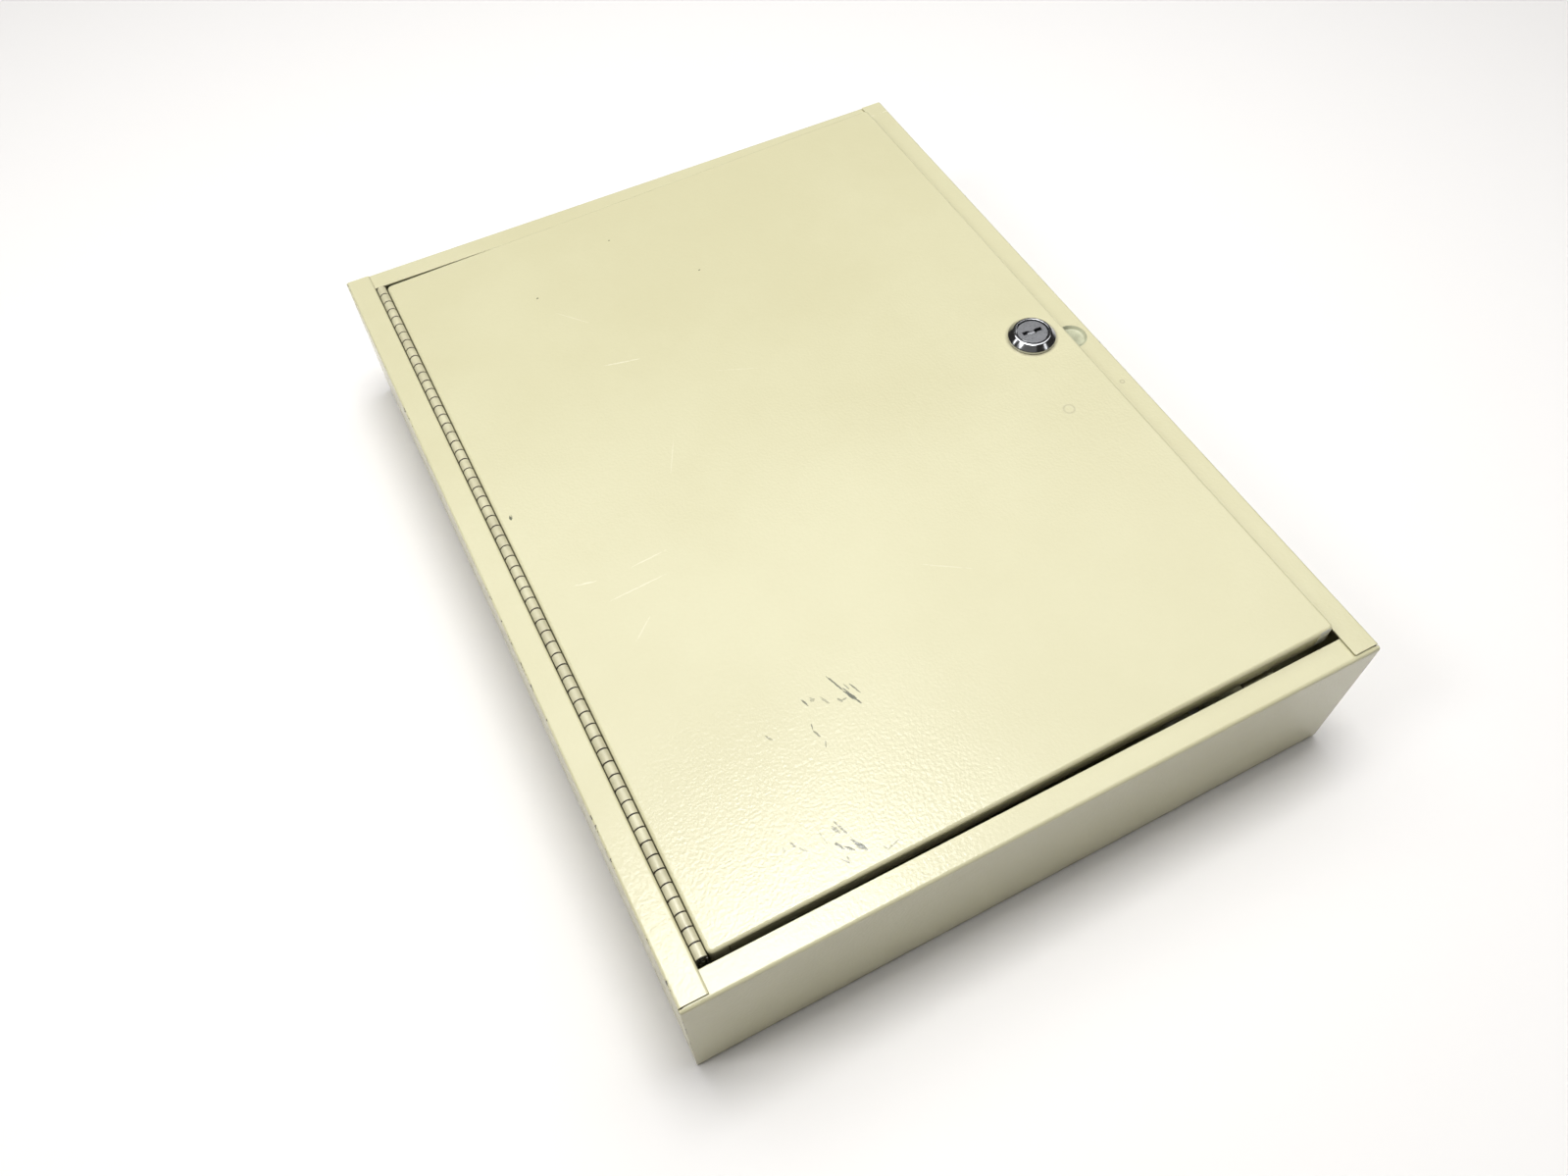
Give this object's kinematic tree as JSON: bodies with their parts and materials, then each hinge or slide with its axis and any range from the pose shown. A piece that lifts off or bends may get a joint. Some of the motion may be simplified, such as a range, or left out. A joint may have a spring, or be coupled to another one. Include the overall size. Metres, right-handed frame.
{
  "type": "key cabinet",
  "caption": "Wall key cabinet in folded sheet steel: pan door on a continuous hinge, cam lock, finger notch, and rows of key hooks inside.",
  "frame": {"origin": "centre of the cabinet's back, on the plane that lies against the wall", "axes": "+Z out of the door, +Y to the top edge when it hangs, +X from the hinge side to the lock side; the cabinet lies on its back"},
  "size_m": [0.327, 0.4286, 0.0958],
  "materials": {
    "body_enamel": "semi-gloss sand enamel with a fine orange-peel grain",
    "door_enamel": "semi-gloss sand enamel, lightly scuffed",
    "hinge_enamel": "sand enamel, worn at the knuckle ends",
    "hook_steel": "plated and lacquered steel strip",
    "number_paper": "matt printed card",
    "lock_chrome": "bright nickel-chrome plate, lightly worn",
    "plug_chrome": "bright plate with turning marks",
    "zinc_plate": "zinc-plated steel"
  },
  "bodies": {
    "cabinet": {"left_side": "body_enamel", "right_side": "body_enamel", "top_end": "body_enamel", "bottom_end": "body_enamel", "back_panel": "body_enamel", "door_stop_top": "body_enamel", "door_stop_bottom": "body_enamel", "hinge_frame_leaf": "hinge_enamel", "hinge_pin": "zinc_plate", "hook_strip_1": "hook_steel", "hook_strip_2": "hook_steel", "hook_strip_3": "hook_steel", "hook_strip_4": "hook_steel", "hook_strip_5": "hook_steel", "hook_strip_6": "hook_steel", "number_strip_1": "number_paper", "number_strip_2": "number_paper", "number_strip_3": "number_paper", "number_strip_4": "number_paper", "number_strip_5": "number_paper", "number_strip_6": "number_paper"},
    "door": {"door_pan": "door_enamel", "hinge_door_leaf": "hinge_enamel", "door_hook_strip_1": "hook_steel", "door_hook_strip_2": "hook_steel", "door_hook_strip_3": "hook_steel", "door_hook_strip_4": "hook_steel", "door_hook_strip_5": "hook_steel", "door_number_strip_1": "number_paper", "door_number_strip_2": "number_paper", "door_number_strip_3": "number_paper", "door_number_strip_4": "number_paper", "door_number_strip_5": "number_paper", "lock_housing": "lock_chrome", "lock_washer": "zinc_plate", "lock_nut": "zinc_plate"},
    "lock_core": {"lock_plug": "plug_chrome", "lock_cam": "zinc_plate", "cam_washer": "zinc_plate", "cam_screw": "zinc_plate"}
  },
  "joints": [
    {"name": "door_swing", "type": "hinge", "parent": "cabinet", "child": "door", "pos_m": [-0.1481, 0, 0.0828], "axis": [0, -1, 0], "range_deg": [-1.5, 138.5]},
    {"name": "lock_turn", "type": "hinge", "parent": "door", "child": "lock_core", "pos_m": [0.12917, 0.0015, 0.09126], "axis": [-0.0262, 0, 0.9997], "range_deg": [0, 90]}
  ]
}
